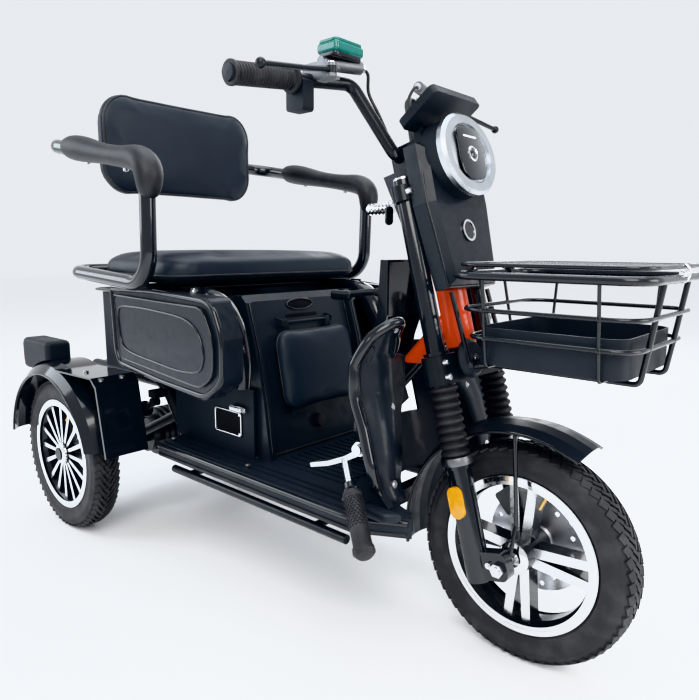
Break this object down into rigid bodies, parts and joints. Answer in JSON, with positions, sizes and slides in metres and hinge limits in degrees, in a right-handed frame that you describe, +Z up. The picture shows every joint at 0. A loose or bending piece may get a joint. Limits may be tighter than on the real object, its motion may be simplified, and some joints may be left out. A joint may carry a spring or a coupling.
{
  "type": "three-wheel electric scooter",
  "caption": "Three-wheel sit-on electric scooter for an adult, with a raked sprung fork, a flip-forward armchair seat over a tub, a footboard and a lidded wire basket.",
  "frame": {"origin": "on the ground under the middle of the vehicle's length and width", "axes": "+X forward, +Y to the rider's left, +Z up"},
  "size_m": [1.5074, 0.676, 1.03],
  "materials": {
    "frame_black": "satin powder coat",
    "neck_orange": "gloss paint",
    "gloss_black": "high gloss",
    "satin_black": "satin lacquer",
    "moulded_black": "fine grain",
    "floor_black": "ribbed, satin",
    "amber_lamp": "moulded lens",
    "red_lamp": "smoked lens",
    "cell_case": "plain",
    "bright_steel": "zinc plated",
    "cast_alloy": "cast",
    "machined_alloy": "diamond turned faces over black",
    "tyre": "moulded",
    "rubber": "moulded",
    "bezel_silver": "satin anodised",
    "lens_dark": "dark clear",
    "reservoir_teal": "tinted clear",
    "seat_vinyl": "soft vinyl",
    "arm_foam": "integral skin foam",
    "wire_black": "dipped coat"
  },
  "bodies": {
    "chassis": {"main_frame": "frame_black", "frame_neck": "neck_orange", "floorboard": "floor_black", "floor_edge_bars": "frame_black", "leg_shields": "satin_black", "knee_panel": "gloss_black", "seat_box": "moulded_black", "box_front_cover": "satin_black", "side_cases": "satin_black", "lower_side_panels": "moulded_black", "rear_fenders": "gloss_black", "tail_lamps": "moulded_black", "seat_brackets": "frame_black", "battery_and_controller": "cell_case", "return_spring": "bright_steel", "charge_socket": "rubber", "rear_shocks": "frame_black"},
    "rear_axle": {"axle_beam": "frame_black", "drive_motor": "frame_black", "brake_drums": "frame_black"},
    "rear_wheel_right": {"rear_tyre_right": "tyre", "rear_rim_right": "machined_alloy"},
    "rear_wheel_left": {"rear_tyre_left": "tyre", "rear_rim_left": "machined_alloy"},
    "steering": {"steering_stem": "frame_black", "stanchions": "gloss_black", "fork_boots": "rubber", "front_fairing": "satin_black", "headlight_housing": "moulded_black", "headlight_bezel": "bezel_silver", "headlight_lens": "lens_dark", "handlebar": "frame_black", "left_grip": "rubber", "master_cylinders": "cast_alloy", "fluid_reservoir": "reservoir_teal", "switch_pods": "moulded_black", "basket_frame": "wire_black", "basket_tray": "moulded_black"},
    "fork_lower": {"fork_sliders": "gloss_black", "front_fender": "satin_black", "brake_caliper": "cast_alloy", "front_axle": "bright_steel", "side_reflectors": "amber_lamp"},
    "front_wheel": {"front_tyre": "tyre", "front_rim": "machined_alloy", "brake_disc": "bright_steel"},
    "display": {"display": "moulded_black"},
    "throttle": {"throttle_grip": "rubber"},
    "brake_lever_right": {"brake_lever_right": "frame_black"},
    "brake_lever_left": {"brake_lever_left": "frame_black"},
    "foot_pedal": {"pedal_arm": "bright_steel", "pedal_rubber": "rubber"},
    "parking_brake": {"parking_lever": "frame_black"},
    "child_pad": {"child_pad": "seat_vinyl"},
    "seat": {"seat_frame": "gloss_black", "seat_cushion": "seat_vinyl", "backrest": "seat_vinyl", "arm_pads": "arm_foam"},
    "basket_lid": {"basket_lid": "wire_black"},
    "ignition_key": {"ignition_key": "bright_steel"}
  },
  "joints": [
    {"name": "steering", "type": "hinge", "parent": "chassis", "child": "steering", "pos_m": [0.39871, 0, 0.55972], "axis": [-0.2588, 0, 0.9659], "range_deg": [-30, 30]},
    {"name": "fork_slide", "type": "slide", "parent": "steering", "child": "fork_lower", "axis": [-0.2588, 0, 0.9659], "range_m": [0, 0.04], "stiffness_N_per_m": 9000, "springref_m": -0.05, "deforming": ["fork_boots"]},
    {"name": "front_wheel_spin", "type": "hinge", "parent": "fork_lower", "child": "front_wheel", "pos_m": [0.5457, 0, 0.185], "axis": [0, 1, 0], "continuous": true},
    {"name": "rear_axle_swing", "type": "hinge", "parent": "chassis", "child": "rear_axle", "pos_m": [-0.2633, 0, 0.307], "axis": [0, 1, 0], "range_deg": [0, 3], "stiffness_Nm_per_rad": 2600, "springref_deg": -5.73, "deforming": ["rear_shocks"]},
    {"name": "rear_wheel_right_spin", "type": "hinge", "parent": "rear_axle", "child": "rear_wheel_right", "pos_m": [-0.52529, -0.277, 0.185], "axis": [0, 1, 0], "continuous": true},
    {"name": "rear_wheel_left_spin", "type": "hinge", "parent": "rear_axle", "child": "rear_wheel_left", "pos_m": [-0.52529, 0.277, 0.185], "axis": [0, 1, 0], "continuous": true},
    {"name": "display_tilt", "type": "hinge", "parent": "steering", "child": "display", "pos_m": [0.32852, 0, 0.86806], "axis": [0, 1, 0], "range_deg": [-12, 12]},
    {"name": "throttle_twist", "type": "hinge", "parent": "steering", "child": "throttle", "pos_m": [0.1967, -0.25, 0.94838], "axis": [0, 0.9933, 0.1157], "range_deg": [0, 65], "stiffness_Nm_per_rad": 0.25, "springref_deg": -17.19},
    {"name": "brake_lever_right_pull", "type": "hinge", "parent": "steering", "child": "brake_lever_right", "pos_m": [0.26071, -0.172, 0.962], "axis": [0, 0, -1], "range_deg": [0, 15], "stiffness_Nm_per_rad": 3, "springref_deg": -8.59},
    {"name": "brake_lever_left_pull", "type": "hinge", "parent": "steering", "child": "brake_lever_left", "pos_m": [0.26071, 0.172, 0.962], "axis": [0, 0, 1], "range_deg": [0, 15], "stiffness_Nm_per_rad": 3, "springref_deg": -8.59},
    {"name": "foot_pedal_press", "type": "hinge", "parent": "chassis", "child": "foot_pedal", "pos_m": [0.3467, -0.186, 0.364], "axis": [0, -1, 0], "range_deg": [0, 10], "stiffness_Nm_per_rad": 20, "springref_deg": -5.73},
    {"name": "parking_brake_pull", "type": "hinge", "parent": "chassis", "child": "parking_brake", "pos_m": [0.24971, 0.025, 0.6], "axis": [0, 1, 0], "range_deg": [0, 32]},
    {"name": "child_pad_fold", "type": "hinge", "parent": "chassis", "child": "child_pad", "pos_m": [0.02471, 0, 0.532], "axis": [0, -1, 0], "range_deg": [0, 75]},
    {"name": "seat_flip", "type": "hinge", "parent": "chassis", "child": "seat", "pos_m": [-0.04029, 0, 0.6], "axis": [0, 1, 0], "range_deg": [0, 50]},
    {"name": "basket_lid_lift", "type": "hinge", "parent": "steering", "child": "basket_lid", "pos_m": [0.4597, 0, 0.645], "axis": [0, -1, 0], "range_deg": [0, 75]},
    {"name": "ignition_turn", "type": "hinge", "parent": "steering", "child": "ignition_key", "pos_m": [0.29602, -0.03, 0.78068], "axis": [-0.8921, 0, -0.4518], "range_deg": [0, 80]}
  ]
}
